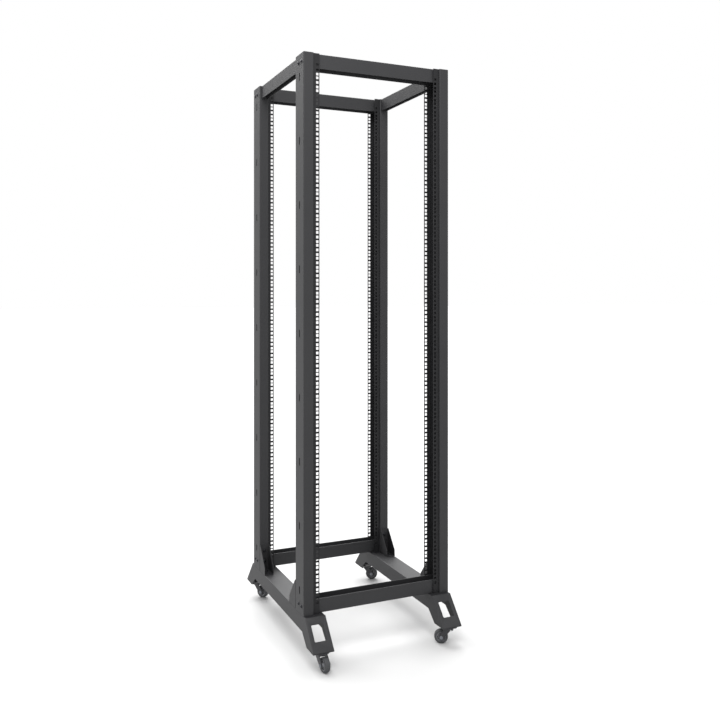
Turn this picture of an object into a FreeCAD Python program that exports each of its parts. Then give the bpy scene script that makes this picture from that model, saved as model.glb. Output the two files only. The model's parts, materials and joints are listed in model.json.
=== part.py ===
"""Four post open frame rack for 19 inch equipment, 42 units high, on four swivel casters.

Folded sheet steel throughout. Two feet run front to rear and carry the posts at their ends.
The feet slope down beyond the posts to pads, and a caster is fixed under each pad.
Lengths are in millimetres. X runs from left to right, Y from front to rear, and Z up.
The origin is on the floor, under the centre of the rack's bounding box.
"""

import FreeCAD, Part

import math
import os

from FreeCAD import Placement, Rotation, Vector

# Rack standard: three square holes in each unit of height, in two columns 465.1 mm apart.
UNIT = 44.45
UNITS = 42
HOLES_PER_UNIT = 3
HOLE_SIZE = 9.5
FIRST_HOLE_HEIGHT = 6.35
HOLE_PITCH = 15.875
HOLE_FROM_RAIL_EDGE = 7.55
BAY_WIDTH = 450.0

# Frame
FRAME_DEPTH = 590.0
SHEET = 2.0
BEND_RADIUS = 1.5
POST_DEPTH = 84.0
POST_FACE_WIDTH = 37.0
POST_LIP = 8.0
POST_END_MARGIN = 33.5
RAIL_WIDTH = 23.0
SLOT_PITCH_UNITS = 5
SLOT_WIDTH = 9.0
SLOT_HEIGHT = 28.0

# Beams that join the posts
BEAM_HEIGHT = 50.0
BEAM_DEPTH = 50.0
BEAM_SETBACK = 12.0
SIDE_BEAM_WIDTH = 25.0
SIDE_BEAM_INSET = 8.0

# Feet
FOOT_WIDTH = 75.0
FOOT_HEIGHT = 55.0
FOOT_LEDGE = 12.0
FOOT_DROP = 94.0
FOOT_SLOPE_RUN = 86.0
PAD_LENGTH = 70.0
KNEE_SETBACK = 46.0
WINDOW_WIDTH = 36.0
WINDOW_LENGTH = 58.0
WINDOW_TOP_MARGIN = 26.0
WINDOW_CHAMFER = 8.0

# Gusset brackets behind the posts
BRACKET_HEIGHT = 100.0
BRACKET_LENGTH = 66.0
BRACKET_NOSE_HEIGHT = 26.0
BRACKET_TOP_WIDTH = 5.0

# Casters
WHEEL_RADIUS = 25.0
WHEEL_WIDTH = 18.0
WHEEL_EDGE = 3.0
WHEEL_DISH = 2.0
RIM_RADIUS = 17.0
HUB_RADIUS = 8.0
HUB_WIDTH = 27.4
AXLE_RADIUS = 4.0
AXLE_HEAD_RADIUS = 7.0
AXLE_HEAD_HEIGHT = 3.0
RUNNING_CLEARANCE = 0.05
SIDE_PLAY = 0.3
CASTER_TRAIL = 26.0
CASTER_PLATE_LENGTH = 60.0
CASTER_PLATE_WIDTH = 46.0
CASTER_PLATE_THICKNESS = 2.5
CASTER_PLATE_CORNER = 6.0
PLATE_HOLE_RADIUS = 3.25
PLATE_HOLE_SPACING_LONG = 44.0
PLATE_HOLE_SPACING_WIDE = 30.0
RACE_RADIUS = 17.0
RACE_HEIGHT = 3.0
CROWN_RADIUS = 19.0
FORK_THICKNESS = 2.5
FORK_ARM_END_RADIUS = 9.0
FORK_INNER_WIDTH = 28.0
KINGPIN_RADIUS = 5.0
KINGPIN_HEAD_RADIUS = 8.0
KINGPIN_HEAD_HEIGHT = 2.0
WHEEL_TO_CROWN = 5.5
CASTER_TURNS = {
    "front_left": 190.0,
    "front_right": 62.0,
    "rear_left": 215.0,
    "rear_right": 240.0,
}

# Sizes worked out from those above
POST_HEIGHT = UNITS * UNIT + 2.0 * POST_END_MARGIN
CASTER_HEIGHT = (
    CASTER_PLATE_THICKNESS + RACE_HEIGHT + SIDE_PLAY + FORK_THICKNESS + WHEEL_TO_CROWN + 2.0 * WHEEL_RADIUS
)
PAD_BOTTOM_Z = CASTER_HEIGHT
FOOT_TOP_Z = PAD_BOTTOM_Z + FOOT_DROP
POST_TOP_Z = FOOT_TOP_Z + POST_HEIGHT
RAIL_INNER_X = BAY_WIDTH / 2.0
HOLE_X = RAIL_INNER_X + HOLE_FROM_RAIL_EDGE
FACE_INNER_X = RAIL_INNER_X + RAIL_WIDTH
SIDE_X = FACE_INNER_X + POST_FACE_WIDTH
FRONT_Y = -FRAME_DEPTH / 2.0
BEAM_HALF_LENGTH = SIDE_X - SHEET
FOOT_INNER_X = SIDE_X - FOOT_WIDTH
PAD_CENTRE_FROM_FRONT = -FOOT_LEDGE - FOOT_SLOPE_RUN + PAD_LENGTH / 2.0
AXLE_Z = WHEEL_RADIUS


def polygon_face(points):
    """A flat face bounded by straight lines through the points, in their order."""
    return Part.Face(Part.makePolygon(list(points) + [points[0]]))


def side_profile(points, x_start, thickness):
    """A solid whose outline is given in the YZ plane, extruded along X."""
    return polygon_face([Vector(x_start, y, z) for y, z in points]).extrude(Vector(thickness, 0, 0))


def plan_profile(points, z_start, height):
    """A solid whose outline is given in the XY plane, extruded upwards."""
    return polygon_face([Vector(x, y, z_start) for x, y in points]).extrude(Vector(0, 0, height))


def left_of(start, end):
    """The unit vector that points to the left of the line between two points of a plane."""
    along = (end - start).normalize()
    return Vector(-along.y, along.x, 0)


def folded_outline(path):
    """The outline of a folded sheet seen edge on, as corners with their radii.

    The path follows one face of the sheet, and the sheet lies to the left of it.
    """
    points = [Vector(a, b, 0) for a, b in path]
    path_side = [(points[0], 0.0)]
    left_side = [(points[0] + left_of(points[0], points[1]) * SHEET, 0.0)]
    for before, corner, after in zip(points, points[1:], points[2:]):
        normals = left_of(before, corner) + left_of(corner, after)
        shifted = corner + normals * (2.0 * SHEET / normals.dot(normals))
        radii = [BEND_RADIUS, BEND_RADIUS + SHEET]
        if (corner - before).cross(after - corner).z > 0:
            radii.reverse()
        path_side.append((corner, radii[0]))
        left_side.append((shifted, radii[1]))
    path_side.append((points[-1], 0.0))
    left_side.append((points[-1] + left_of(points[-2], points[-1]) * SHEET, 0.0))
    return path_side + left_side[::-1]


def rounded_face(corners, place):
    """A flat face that turns each corner with its own radius.

    Each corner is a point of a plane and a radius, and place puts such a point in space.
    """
    turns = []
    for index, (corner, radius) in enumerate(corners):
        to_before = (corners[index - 1][0] - corner).normalize()
        to_after = (corners[(index + 1) % len(corners)][0] - corner).normalize()
        half_angle = to_before.getAngle(to_after) / 2.0
        reach = radius / math.tan(half_angle)
        middle = corner + (to_before + to_after).normalize() * (radius / math.sin(half_angle) - radius)
        turns.append((corner + to_before * reach, middle, corner + to_after * reach, radius))
    edges = []
    for (start, middle, end, radius), following in zip(turns, turns[1:] + turns[:1]):
        if radius > 0:
            edges.append(Part.Arc(place(start), place(middle), place(end)).toShape())
        edges.append(Part.LineSegment(place(end), place(following[0])).toShape())
    return Part.Face(Part.Wire(edges))


def at_x(x):
    """Puts a point of the YZ plane in space, at the given X."""
    return lambda point: Vector(x, point.x, point.y)


def at_y(y):
    """Puts a point of the XZ plane in space, at the given Y."""
    return lambda point: Vector(point.x, y, point.y)


def at_z(z):
    """Puts a point of the XY plane in space, at the given Z."""
    return lambda point: Vector(point.x, point.y, z)


def box(x_range, y_range, z_range):
    """A box between two limits along each axis."""
    origin = Vector(x_range[0], y_range[0], z_range[0])
    return Part.makeBox(
        x_range[1] - x_range[0], y_range[1] - y_range[0], z_range[1] - z_range[0], origin
    )


def mirrored_x(shape):
    """The same shape on the other side of the rack."""
    return shape.mirror(Vector(0, 0, 0), Vector(1, 0, 0))


def mirrored_y(shape):
    """The same shape at the other end of the rack."""
    return shape.mirror(Vector(0, 0, 0), Vector(0, 1, 0))


def placed_at_corner(shape, corner):
    """A shape built for the front left corner, mirrored to the named corner."""
    if corner.startswith("rear"):
        shape = mirrored_y(shape)
    if corner.endswith("right"):
        shape = mirrored_x(shape)
    return shape


def slot_cutter(centre_y, centre_z):
    """A tall slot with round ends, cut along X through a post's side."""
    half_straight = (SLOT_HEIGHT - SLOT_WIDTH) / 2.0
    radius = SLOT_WIDTH / 2.0
    x_start = -SIDE_X - SHEET
    bottom_left = Vector(x_start, centre_y - radius, centre_z - half_straight)
    bottom_right = Vector(x_start, centre_y + radius, centre_z - half_straight)
    top_left = Vector(x_start, centre_y - radius, centre_z + half_straight)
    top_right = Vector(x_start, centre_y + radius, centre_z + half_straight)
    bottom = Vector(x_start, centre_y, centre_z - half_straight - radius)
    top = Vector(x_start, centre_y, centre_z + half_straight + radius)
    outline = Part.Wire(
        [
            Part.LineSegment(top_left, bottom_left).toShape(),
            Part.Arc(bottom_left, bottom, bottom_right).toShape(),
            Part.LineSegment(bottom_right, top_right).toShape(),
            Part.Arc(top_right, top, top_left).toShape(),
        ]
    )
    return Part.Face(outline).extrude(Vector(3.0 * SHEET, 0, 0))


def make_post():
    """A post: a side web between two faces, each with a lip that turns into the rack."""
    front = FRONT_Y
    back = FRONT_Y + POST_DEPTH
    path = [
        (-FACE_INNER_X, back - POST_LIP),
        (-FACE_INNER_X, back),
        (-SIDE_X, back),
        (-SIDE_X, front),
        (-FACE_INNER_X, front),
        (-FACE_INNER_X, front + POST_LIP),
    ]
    section = rounded_face(folded_outline(path), at_z(FOOT_TOP_Z))
    post = section.extrude(Vector(0, 0, POST_HEIGHT))
    pitch = SLOT_PITCH_UNITS * UNIT
    count = int((POST_HEIGHT - 2.0 * BEAM_HEIGHT - SLOT_HEIGHT) // pitch) + 1
    first_z = FOOT_TOP_Z + (POST_HEIGHT - (count - 1) * pitch) / 2.0
    cutters = [slot_cutter(front + POST_DEPTH / 2.0, first_z + index * pitch) for index in range(count)]
    return post.cut(Part.makeCompound(cutters))


def rail_hole_heights():
    """The height of every rail hole's centre, from the lowest unit to the highest."""
    lowest = FOOT_TOP_Z + POST_END_MARGIN + FIRST_HOLE_HEIGHT
    return [
        lowest + unit * UNIT + hole * HOLE_PITCH for unit in range(UNITS) for hole in range(HOLES_PER_UNIT)
    ]


def make_rail(y_start, perforated):
    """A flat mounting strip welded to a post's lip, with a column of square holes."""
    bottom = FOOT_TOP_Z
    top = POST_TOP_Z
    strip = polygon_face(
        [
            Vector(-FACE_INNER_X, y_start, bottom),
            Vector(-RAIL_INNER_X, y_start, bottom),
            Vector(-RAIL_INNER_X, y_start, top),
            Vector(-FACE_INNER_X, y_start, top),
        ]
    )
    if perforated:
        half = HOLE_SIZE / 2.0
        holes = []
        for height in rail_hole_heights():
            corners = [(-half, -half), (half, -half), (half, half), (-half, half)]
            holes.append(polygon_face([Vector(-HOLE_X + x, y_start, height + z) for x, z in corners]))
        strip = strip.cut(Part.makeCompound(holes))
    return strip.extrude(Vector(0, SHEET, 0))


def channel_beam(path, place, length):
    """A folded channel that opens on one side, with a plate across each end.

    The path is the section's, and place and length are the start and the run of the beam.
    """
    channel = rounded_face(folded_outline(path), place).extrude(length)
    radius = BEND_RADIUS + SHEET
    corners = [(Vector(a, b, 0), r) for (a, b), r in zip(path, (0.0, radius, radius, 0.0))]
    thickness = length.normalize() * SHEET
    end_plate = rounded_face(corners, place).extrude(thickness)
    return channel.fuse(end_plate)


def make_cross_beam(at_top):
    """A channel between two posts with its web on the outer side, open below or above."""
    near = FRONT_Y + BEAM_SETBACK
    far = near + BEAM_DEPTH
    if at_top:
        fold_z = POST_TOP_Z
        open_z = POST_TOP_Z - BEAM_HEIGHT
        path = [(far, open_z), (far, fold_z), (near, fold_z), (near, open_z)]
    else:
        fold_z = FOOT_TOP_Z
        open_z = FOOT_TOP_Z + BEAM_HEIGHT
        path = [(near, open_z), (near, fold_z), (far, fold_z), (far, open_z)]
    half_beam = channel_beam(path, at_x(-BEAM_HALF_LENGTH), Vector(BEAM_HALF_LENGTH, 0, 0))
    return half_beam.fuse(mirrored_x(half_beam)).removeSplitter()


def make_side_beam():
    """A channel between the tops of a front post and a rear post, open below."""
    outer = -SIDE_X + SIDE_BEAM_INSET
    inner = outer + SIDE_BEAM_WIDTH
    bottom = POST_TOP_Z - BEAM_HEIGHT
    path = [(inner, bottom), (inner, POST_TOP_Z), (outer, POST_TOP_Z), (outer, bottom)]
    half_length = -(FRONT_Y + POST_DEPTH)
    half_beam = channel_beam(path, at_y(-half_length), Vector(0, half_length, 0))
    return half_beam.fuse(mirrored_y(half_beam)).removeSplitter()


def foot_end_path():
    """The line down a foot's sloping end and back under its pad, as Y and Z."""
    ledge_y = FRONT_Y - FOOT_LEDGE
    tip_y = ledge_y - FOOT_SLOPE_RUN
    return [(ledge_y, FOOT_TOP_Z), (tip_y, PAD_BOTTOM_Z), (tip_y + PAD_LENGTH, PAD_BOTTOM_Z)]


def plate_holes(centre, z_start, depth):
    """Cutters for the four bolts that hold a caster's plate under its pad."""
    x_reach = PLATE_HOLE_SPACING_WIDE / 2.0
    y_reach = PLATE_HOLE_SPACING_LONG / 2.0
    return [
        Part.makeCylinder(PLATE_HOLE_RADIUS, depth, Vector(centre.x + x, centre.y + y, z_start))
        for x in (-x_reach, x_reach)
        for y in (-y_reach, y_reach)
    ]


def make_foot_end():
    """The sloping end plate of a foot with its window, folded under as a pad for the caster."""
    path = foot_end_path()
    section = rounded_face(folded_outline(path), at_x(-SIDE_X))
    plate = section.extrude(Vector(FOOT_WIDTH, 0, 0))
    half = WINDOW_WIDTH / 2.0
    top = -WINDOW_TOP_MARGIN
    bottom = top - WINDOW_LENGTH
    corners = [
        (-half, bottom),
        (half, bottom),
        (half, top - WINDOW_CHAMFER),
        (half - WINDOW_CHAMFER, top),
        (-half + WINDOW_CHAMFER, top),
        (-half, top - WINDOW_CHAMFER),
    ]
    window = polygon_face([Vector(x, along, -2.0 * SHEET) for x, along in corners])
    window = window.extrude(Vector(0, 0, 4.0 * SHEET))
    slope = math.degrees(math.atan2(FOOT_DROP, FOOT_SLOPE_RUN))
    window.Placement = Placement(
        Vector(-SIDE_X + FOOT_WIDTH / 2.0, path[0][0], FOOT_TOP_Z), Rotation(Vector(1, 0, 0), slope)
    )
    holes = plate_holes(caster_centre("front_left"), PAD_BOTTOM_Z - SHEET, 3.0 * SHEET)
    return plate.cut([window] + holes)


def make_foot_channel():
    """A foot's top plate and its two side walls, which follow the sloping ends down."""
    ledge, tip, pad_back = foot_end_path()
    knee = (pad_back[0] + KNEE_SETBACK, FOOT_TOP_Z - FOOT_HEIGHT)
    section_path = [
        (-FOOT_INNER_X, PAD_BOTTOM_Z),
        (-FOOT_INNER_X, FOOT_TOP_Z),
        (-SIDE_X, FOOT_TOP_Z),
        (-SIDE_X, PAD_BOTTOM_Z),
    ]
    channel = rounded_face(folded_outline(section_path), at_y(tip[0]))
    channel = channel.extrude(Vector(0, -2.0 * tip[0], 0))
    front_half = [(ledge, 0.0), (tip, BEND_RADIUS + SHEET), (pad_back, 0.0), (knee, 0.0)]
    rear_half = [((-y, z), radius) for (y, z), radius in front_half[::-1]]
    outline = [(Vector(y, z, 0), radius) for (y, z), radius in front_half + rear_half]
    width = Vector(FOOT_WIDTH, 0, 0)
    side = rounded_face(outline, at_x(-SIDE_X)).extrude(width)
    end_sheet = rounded_face(folded_outline([ledge, tip, pad_back]), at_x(-SIDE_X)).extrude(width)
    return channel.common(side).cut([end_sheet, mirrored_y(end_sheet)])


def make_bracket():
    """A folded bracket: a plate against the post's back, and two gussets down to the foot."""
    near = FRONT_Y + POST_DEPTH
    far = near + BRACKET_LENGTH
    path = [(-SIDE_X, far), (-SIDE_X, near), (-FACE_INNER_X, near), (-FACE_INNER_X, far)]
    folded = rounded_face(folded_outline(path), at_z(FOOT_TOP_Z)).extrude(Vector(0, 0, BRACKET_HEIGHT))
    outline = [
        (near, FOOT_TOP_Z),
        (far, FOOT_TOP_Z),
        (far - SHEET, FOOT_TOP_Z + BRACKET_NOSE_HEIGHT),
        (near + BRACKET_TOP_WIDTH, FOOT_TOP_Z + BRACKET_HEIGHT),
        (near, FOOT_TOP_Z + BRACKET_HEIGHT),
    ]
    folded = folded.common(side_profile(outline, -SIDE_X, POST_FACE_WIDTH))
    inside_x = (-SIDE_X + SHEET, -FACE_INNER_X - SHEET)
    floor = box(inside_x, (near + SHEET, far), (FOOT_TOP_Z, FOOT_TOP_Z + SHEET))
    return folded.fuse(floor).removeSplitter()


def turned_about_z(shape, angle):
    """The shape turned about the Z axis by an angle in degrees."""
    turned = shape.copy()
    turned.rotate(Vector(0, 0, 0), Vector(0, 0, 1), angle)
    return turned


def make_caster_plate():
    """The mounting plate with its ball race and the kingpin that holds the fork."""
    top = PAD_BOTTOM_Z
    half_length = CASTER_PLATE_LENGTH / 2.0
    half_width = CASTER_PLATE_WIDTH / 2.0
    cut = CASTER_PLATE_CORNER
    corners = [
        (-half_width + cut, -half_length),
        (half_width - cut, -half_length),
        (half_width, -half_length + cut),
        (half_width, half_length - cut),
        (half_width - cut, half_length),
        (-half_width + cut, half_length),
        (-half_width, half_length - cut),
        (-half_width, -half_length + cut),
    ]
    plate = plan_profile(corners, top - CASTER_PLATE_THICKNESS, CASTER_PLATE_THICKNESS)
    race_bottom = top - CASTER_PLATE_THICKNESS - RACE_HEIGHT
    race = Part.makeCylinder(RACE_RADIUS, RACE_HEIGHT, Vector(0, 0, race_bottom))
    crown_bottom = race_bottom - SIDE_PLAY - FORK_THICKNESS
    pin_bottom = crown_bottom - SIDE_PLAY - KINGPIN_HEAD_HEIGHT
    pin = Part.makeCylinder(KINGPIN_RADIUS, race_bottom - pin_bottom, Vector(0, 0, pin_bottom))
    head = Part.makeCylinder(KINGPIN_HEAD_RADIUS, KINGPIN_HEAD_HEIGHT, Vector(0, 0, pin_bottom))
    holes = plate_holes(Vector(0, 0, 0), top - 2.0 * CASTER_PLATE_THICKNESS, 3.0 * CASTER_PLATE_THICKNESS)
    return plate.cut(holes).fuse([race, pin, head]).removeSplitter()


def make_caster_fork():
    """The fork: a round crown and two arms that lean back to the axle."""
    crown_top = PAD_BOTTOM_Z - CASTER_PLATE_THICKNESS - RACE_HEIGHT - SIDE_PLAY
    crown_bottom = crown_top - FORK_THICKNESS
    crown = Part.makeCylinder(CROWN_RADIUS, FORK_THICKNESS, Vector(0, 0, crown_bottom))
    half_inner = FORK_INNER_WIDTH / 2.0
    reach = math.sqrt(CROWN_RADIUS**2 - half_inner**2)
    arm_corner = Vector(half_inner, reach, crown_top)
    axle = Vector(half_inner, CASTER_TRAIL, AXLE_Z)
    end_radius = FORK_ARM_END_RADIUS
    arm_top = polygon_face(
        [
            Vector(half_inner, -reach, crown_top),
            arm_corner,
            tangent_point(arm_corner, axle, end_radius, 1.0),
            axle,
            tangent_point(Vector(half_inner, -reach, crown_top), axle, end_radius, -1.0),
        ]
    ).extrude(Vector(FORK_THICKNESS, 0, 0))
    arm_end = Part.makeCylinder(end_radius, FORK_THICKNESS, axle, Vector(1, 0, 0))
    arm = arm_top.fuse(arm_end)
    half_outer = half_inner + FORK_THICKNESS
    strip = box((-half_outer, half_outer), (-reach, reach), (crown_bottom, crown_top))
    fork = crown.fuse([strip, arm, mirrored_x(arm)])
    kingpin_bore = Part.makeCylinder(
        KINGPIN_RADIUS + RUNNING_CLEARANCE, 3.0 * FORK_THICKNESS, Vector(0, 0, crown_bottom - FORK_THICKNESS)
    )
    axle_bore = Part.makeCylinder(
        AXLE_RADIUS, 2.0 * half_outer, Vector(-half_outer, CASTER_TRAIL, AXLE_Z), Vector(1, 0, 0)
    )
    return fork.cut([kingpin_bore, axle_bore]).removeSplitter()


def tangent_point(start, centre, radius, side):
    """Where a line from a point touches a circle about an X axis, on the chosen side."""
    away_y = start.y - centre.y
    away_z = start.z - centre.z
    distance = math.hypot(away_y, away_z)
    angle = math.atan2(away_z, away_y) - side * math.acos(radius / distance)
    return Vector(centre.x, centre.y + radius * math.cos(angle), centre.z + radius * math.sin(angle))


def make_axle():
    """The axle bolt: a pin through both arms with a round head at each end."""
    half = FORK_INNER_WIDTH / 2.0 + FORK_THICKNESS
    along = Vector(1, 0, 0)
    pin = Part.makeCylinder(AXLE_RADIUS, 2.0 * half, Vector(-half, CASTER_TRAIL, AXLE_Z), along)
    heads = [
        Part.makeCylinder(AXLE_HEAD_RADIUS, AXLE_HEAD_HEIGHT, Vector(x, CASTER_TRAIL, AXLE_Z), along)
        for x in (-half - AXLE_HEAD_HEIGHT, half)
    ]
    return pin.fuse(heads).removeSplitter()


def make_wheel():
    """The wheel: a tread with eased edges, a dished disc and a hub, turned about the axle."""
    bore = AXLE_RADIUS + RUNNING_CLEARANCE
    half = WHEEL_WIDTH / 2.0
    half_hub = HUB_WIDTH / 2.0
    profile = [
        (-half_hub, bore),
        (-half_hub, HUB_RADIUS),
        (-half + WHEEL_DISH, HUB_RADIUS),
        (-half + WHEEL_DISH, RIM_RADIUS),
        (-half, RIM_RADIUS),
        (-half, WHEEL_RADIUS - WHEEL_EDGE),
        (-half + WHEEL_EDGE, WHEEL_RADIUS),
    ]
    outline = profile + [(-x, r) for x, r in profile[::-1]]
    centre = Vector(0, CASTER_TRAIL, AXLE_Z)
    section = polygon_face([centre + Vector(x, 0, r) for x, r in outline])
    return section.revolve(centre, Vector(1, 0, 0), 360.0)


def caster_centre(corner):
    """The plan position of a corner's kingpin."""
    x = SIDE_X - FOOT_WIDTH / 2.0
    y = FRONT_Y + PAD_CENTRE_FROM_FRONT
    return Vector(x if corner.endswith("right") else -x, -y if corner.startswith("rear") else y, 0)


def build_nodes():
    """Every named piece of the rack."""
    nodes = {}
    post = make_post()
    bracket = make_bracket()
    foot_end = make_foot_end()
    outer_rail = make_rail(FRONT_Y + POST_LIP - SHEET, True)
    inner_rail = make_rail(FRONT_Y + POST_DEPTH - POST_LIP, False)
    for corner in CASTER_TURNS:
        nodes["post_" + corner] = placed_at_corner(post, corner)
        nodes["rail_outer_" + corner] = placed_at_corner(outer_rail, corner)
        nodes["rail_inner_" + corner] = placed_at_corner(inner_rail, corner)
        nodes["post_bracket_" + corner] = placed_at_corner(bracket, corner)
        nodes["foot_end_" + corner] = placed_at_corner(foot_end, corner)

    top_beam = make_cross_beam(True)
    bottom_beam = make_cross_beam(False)
    nodes["top_beam_front"] = top_beam
    nodes["top_beam_rear"] = mirrored_y(top_beam)
    nodes["bottom_beam_front"] = bottom_beam
    nodes["bottom_beam_rear"] = mirrored_y(bottom_beam)
    side_beam = make_side_beam()
    nodes["top_beam_left"] = side_beam
    nodes["top_beam_right"] = mirrored_x(side_beam)
    foot = make_foot_channel()
    nodes["foot_left"] = foot
    nodes["foot_right"] = mirrored_x(foot)

    caster_pieces = {
        "caster_fork_": make_caster_fork(),
        "caster_axle_": make_axle(),
        "caster_wheel_": make_wheel(),
    }
    caster_plate = make_caster_plate()
    for corner, turn in CASTER_TURNS.items():
        centre = caster_centre(corner)
        nodes["caster_plate_" + corner] = caster_plate.translated(centre)
        for name, shape in caster_pieces.items():
            nodes[name + corner] = turned_about_z(shape, turn).translated(centre)
    return nodes


os.makedirs("parts", exist_ok=True)
for node_name, node_shape in build_nodes().items():
    node_shape.exportStep("parts/" + node_name + ".step")
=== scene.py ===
"""Looks of a four post open frame rack: finishes, perforated strips, screws and swivel casters.

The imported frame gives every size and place. Each sub-assembly is a class that builds its own
meshes and dresses them. Sizes are in metres, apart from those whose name ends in _mm.
"""

from __future__ import annotations

import json
import logging
import math
from abc import ABC, abstractmethod
from dataclasses import dataclass, field
from enum import Enum
from typing import Any, Iterable, Sequence

import bmesh
import bpy
from mathutils import Matrix, Vector
from mathutils.geometry import tessellate_polygon

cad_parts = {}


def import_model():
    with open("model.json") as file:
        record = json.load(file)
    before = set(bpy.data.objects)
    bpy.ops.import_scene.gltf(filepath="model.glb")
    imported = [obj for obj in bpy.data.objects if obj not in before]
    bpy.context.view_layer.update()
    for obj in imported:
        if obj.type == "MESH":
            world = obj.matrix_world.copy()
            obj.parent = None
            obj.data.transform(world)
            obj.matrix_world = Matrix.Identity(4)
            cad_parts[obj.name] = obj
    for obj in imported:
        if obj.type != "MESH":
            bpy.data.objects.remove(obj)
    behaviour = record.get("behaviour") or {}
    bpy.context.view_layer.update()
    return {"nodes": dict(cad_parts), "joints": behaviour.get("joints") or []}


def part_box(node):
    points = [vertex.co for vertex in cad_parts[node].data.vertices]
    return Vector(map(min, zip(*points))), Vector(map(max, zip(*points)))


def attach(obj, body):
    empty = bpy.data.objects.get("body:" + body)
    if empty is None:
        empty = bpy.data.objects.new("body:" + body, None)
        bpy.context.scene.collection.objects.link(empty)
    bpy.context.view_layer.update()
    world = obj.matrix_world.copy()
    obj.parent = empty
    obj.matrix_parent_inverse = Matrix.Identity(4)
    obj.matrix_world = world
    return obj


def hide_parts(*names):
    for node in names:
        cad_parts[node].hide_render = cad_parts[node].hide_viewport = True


LOG = logging.getLogger("rack")
MM = 0.001
FULL_TURN = 2.0 * math.pi
QUARTER_TURN = math.pi / 2.0
MERGE_DISTANCE = 1e-6
CORNER_DEG = 32.0
CUT_EDGE_DEG = 50.0
HEXAGON = 6

Point = tuple[float, float, float]

LEFT: Point = (-1.0, 0.0, 0.0)
FRONT: Point = (0.0, -1.0, 0.0)
REAR: Point = (0.0, 1.0, 0.0)
UP: Point = (0.0, 0.0, 1.0)
DOWN: Point = (0.0, 0.0, -1.0)


# ---- Small helpers for nodes and meshes ----


def linear(hex_colour: str) -> tuple[float, float, float, float]:
    """Turns an sRGB hex colour into a linear RGBA colour, by the sRGB standard's curve.

    Args:
        hex_colour: The colour as "#rrggbb".

    Returns:
        Linear red, green and blue, and an alpha of 1.
    """
    channels = [int(hex_colour[i : i + 2], 16) / 255.0 for i in (1, 3, 5)]
    red, green, blue = (
        c / 12.92 if c <= 0.04045 else ((c + 0.055) / 1.055) ** 2.4 for c in channels
    )
    return red, green, blue, 1.0


def scale_for(size_mm: float) -> float:
    """A texture's scale, for a pattern whose real size is given in millimetres."""
    return 1000.0 / size_mm


def add_node(
    tree: bpy.types.NodeTree,
    kind: str,
    inputs: dict[str | int, Any] | None = None,
    **settings: Any,
) -> bpy.types.Node:
    """Adds a node with its settings, and sets or links its inputs.

    Args:
        tree: The tree that gets the node.
        kind: The node's type name.
        inputs: A value or an output for each named or numbered input. A list links several
            outputs to one input, in order.
        **settings: Properties of the node.

    Returns:
        The new node.
    """
    node = tree.nodes.new(kind)
    for key, value in settings.items():
        setattr(node, key, value)
    for key, value in (inputs or {}).items():
        for source in value if isinstance(value, list) else [value]:
            if isinstance(source, bpy.types.NodeSocket):
                tree.links.new(source, node.inputs[key])
            else:
                node.inputs[key].default_value = source
    return node


def add_object(name: str, mesh: bpy.types.Mesh) -> bpy.types.Object:
    """Puts a mesh in the scene as an object at the origin.

    Args:
        name: The object's name.
        mesh: Its mesh, in place.

    Returns:
        The object.
    """
    piece = bpy.data.objects.new(name, mesh)
    bpy.context.scene.collection.objects.link(piece)
    return piece


def face_outwards(mesh: bpy.types.Mesh, corner_deg: float = CORNER_DEG) -> bpy.types.Mesh:
    """Merges doubles, turns every face outwards and shades all but the corners smooth.

    Args:
        mesh: The mesh, which is changed.
        corner_deg: The angle from which an edge counts as a corner.

    Returns:
        The same mesh.
    """
    work = bmesh.new()
    work.from_mesh(mesh)
    bmesh.ops.remove_doubles(work, verts=work.verts, dist=MERGE_DISTANCE)
    bmesh.ops.recalc_face_normals(work, faces=work.faces)
    work.to_mesh(mesh)
    work.free()
    mesh.shade_smooth()
    mesh.set_sharp_from_angle(angle=math.radians(corner_deg))
    return mesh


def loft(name: str, rings: Sequence[Sequence[Point]], closed: bool = False) -> bpy.types.Mesh:
    """Joins rings of points into a skin that faces outwards.

    Args:
        name: The mesh's name.
        rings: Rings with the same number of points each.
        closed: Whether the last ring joins the first. Otherwise both ends are capped.

    Returns:
        The mesh, smooth apart from its corners.
    """
    count, total = len(rings[0]), len(rings)
    points = [point for ring in rings for point in ring]
    faces: list[tuple[int, ...]] = []
    for index in range(total if closed else total - 1):
        here, there = index * count, ((index + 1) % total) * count
        for step in range(count):
            after = (step + 1) % count
            faces.append((here + step, here + after, there + after, there + step))
    if not closed:
        faces.append(tuple(range(count)))
        faces.append(tuple(range((total - 1) * count, total * count)))
    mesh = bpy.data.meshes.new(name)
    mesh.from_pydata(points, [], faces)
    return face_outwards(mesh)


def turned_ring(radius: float, height: float, segments: int, sides: int = 0) -> list[Point]:
    """A ring of points about the Z axis.

    Args:
        radius: The ring's radius, or half the width across its flats.
        height: The ring's place along Z.
        segments: How many points it has.
        sides: 0 for a round ring, or the number of flats.

    Returns:
        The points in order.
    """
    ring = []
    for index in range(segments):
        angle = FULL_TURN * index / segments
        reach = radius
        if sides:
            flat = FULL_TURN / sides
            reach = radius / math.cos((angle % flat) - flat / 2.0)
        ring.append((reach * math.cos(angle), reach * math.sin(angle), height))
    return ring


def turned(
    name: str, stations: Iterable[tuple[Any, ...]], segments: int, closed: bool = False
) -> bpy.types.Mesh:
    """Turns a profile about the Z axis.

    Args:
        name: The mesh's name.
        stations: Each ring's radius and height, and its number of flats where it has them.
        segments: How many points each ring has.
        closed: Whether the profile closes on itself, as a ring's does.

    Returns:
        The turned mesh.
    """
    rings = [turned_ring(radius, height, segments, *flats) for radius, height, *flats in stations]
    return loft(name, rings, closed)


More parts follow.
